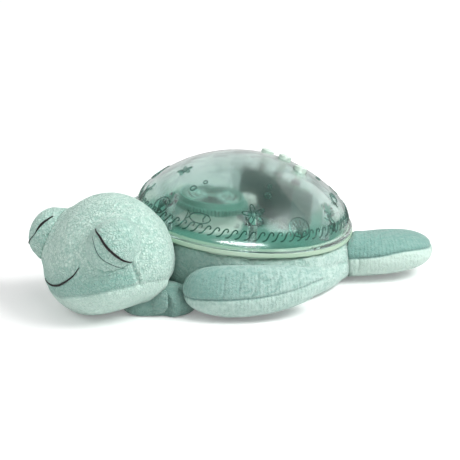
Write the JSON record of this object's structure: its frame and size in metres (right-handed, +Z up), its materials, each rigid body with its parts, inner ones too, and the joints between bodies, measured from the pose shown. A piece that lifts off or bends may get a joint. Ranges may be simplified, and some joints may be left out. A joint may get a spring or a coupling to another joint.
{
  "type": "turtle night light",
  "caption": "Plush sleeping turtle with a clear domed shell that projects rippling light; push buttons, a motor-driven ripple disc, a speaker and a screwed belly battery door.",
  "frame": {"origin": "on the ground under the middle of the turtle's length and width", "axes": "+Z up, nose towards -Y, the turtle's left side on +X"},
  "size_m": [0.2344, 0.3254, 0.1035],
  "materials": {
    "plush": "short velour, embossed",
    "dome": "clear green, moulded",
    "trim": "satin moulded",
    "case": "moulded",
    "white_plastic": "moulded",
    "dark_plastic": "moulded",
    "button": "milky moulded",
    "clear": "clear moulded",
    "board": "solder mask",
    "steel": "plated",
    "painted": "black paint",
    "magnet": "ferrite",
    "can": "drawn can",
    "cell": "printed sleeve, plain",
    "cone": "pressed paper",
    "lead_red": "insulated wire",
    "lead_grey": "insulated wire"
  },
  "bodies": {
    "turtle": {"plush_body": "plush", "plush_head": "plush", "plush_neck": "plush", "left_eyelid": "plush", "right_eyelid": "plush", "shell_dome": "dome", "trim_ring": "trim", "base_tub": "case", "lamp_deck": "dark_plastic", "case_screws": "steel", "battery_cell_1": "cell", "battery_cell_2": "cell", "battery_cell_3": "cell", "contact_plates": "steel", "contact_springs": "steel", "speaker_frame": "painted", "speaker_cone": "cone", "speaker_magnet": "magnet", "speaker_screws": "steel", "main_board": "board", "board_chip": "dark_plastic", "board_capacitors": "can", "board_connector": "white_plastic", "board_screws": "steel", "lamp_housing": "white_plastic", "lamp_board": "board", "lamp_leds": "clear", "condenser_lens": "clear", "lamp_screws": "steel", "motor_can": "can", "motor_bracket": "steel", "bracket_screws": "steel", "control_pod": "dark_plastic", "control_board": "board", "control_screws": "steel", "control_switches": "dark_plastic", "control_lead": "lead_grey", "lamp_leads": "lead_red", "speaker_leads": "lead_grey", "motor_leads": "lead_red", "battery_leads": "lead_red"},
    "ripple_rotor": {"ripple_gear": "white_plastic", "ripple_disc": "clear"},
    "motor_rotor": {"motor_pinion": "white_plastic", "motor_shaft": "steel"},
    "door": {"battery_door": "case", "battery_door_screw": "steel"},
    "sound_key": {"sound_button": "button", "sound_plunger": "dark_plastic"},
    "light_key": {"light_button": "button", "light_plunger": "dark_plastic"},
    "motion_key": {"motion_button": "button", "motion_plunger": "dark_plastic"},
    "flipper_front_left": {"left_front_flipper": "plush"},
    "flipper_front_right": {"right_front_flipper": "plush"},
    "flipper_rear_left": {"left_rear_flipper": "plush"},
    "flipper_rear_right": {"right_rear_flipper": "plush"}
  },
  "joints": [
    {"name": "sound_press", "type": "slide", "parent": "turtle", "child": "sound_key", "axis": [0, -0.4383, -0.8988], "range_m": [0, 0.0012], "stiffness_N_per_m": 900, "springref_m": -0.0006},
    {"name": "light_press", "type": "slide", "parent": "turtle", "child": "light_key", "axis": [0, -0.4383, -0.8988], "range_m": [0, 0.0012], "stiffness_N_per_m": 900, "springref_m": -0.0006},
    {"name": "motion_press", "type": "slide", "parent": "turtle", "child": "motion_key", "axis": [0, -0.4383, -0.8988], "range_m": [0, 0.0012], "stiffness_N_per_m": 900, "springref_m": -0.0006},
    {"name": "ripple_spin", "type": "hinge", "parent": "turtle", "child": "ripple_rotor", "pos_m": [0, -0.00339, 0.06616], "axis": [0, 0.1219, 0.9925], "continuous": true},
    {"name": "motor_spin", "type": "hinge", "parent": "turtle", "child": "motor_rotor", "pos_m": [0, 0.03333, 0.06165], "axis": [0, 0.1219, 0.9925], "continuous": true},
    {"name": "battery_door_pull", "type": "slide", "parent": "turtle", "child": "door", "axis": [0, -0.1219, -0.9925], "range_m": [0, 0.03]},
    {"name": "front_left_bend", "type": "hinge", "parent": "turtle", "child": "flipper_front_left", "pos_m": [0.04404, -0.05743, 0.024], "axis": [0, 0, -1], "range_deg": [0, 30], "stiffness_Nm_per_rad": 0.12},
    {"name": "front_right_bend", "type": "hinge", "parent": "turtle", "child": "flipper_front_right", "pos_m": [-0.04404, -0.05743, 0.024], "axis": [0, 0, 1], "range_deg": [0, 30], "stiffness_Nm_per_rad": 0.12},
    {"name": "rear_left_bend", "type": "hinge", "parent": "turtle", "child": "flipper_rear_left", "pos_m": [0.06444, 0.09552, 0.04], "axis": [0.9063, -0.4226, 0], "range_deg": [0, 25], "stiffness_Nm_per_rad": 0.12},
    {"name": "rear_right_bend", "type": "hinge", "parent": "turtle", "child": "flipper_rear_right", "pos_m": [-0.06444, 0.09552, 0.04], "axis": [0.9063, 0.4226, 0], "range_deg": [0, 25], "stiffness_Nm_per_rad": 0.12}
  ],
  "couplings": [
    {"joint": "motor_spin", "follows": "ripple_spin", "ratio": -4.2857}
  ]
}
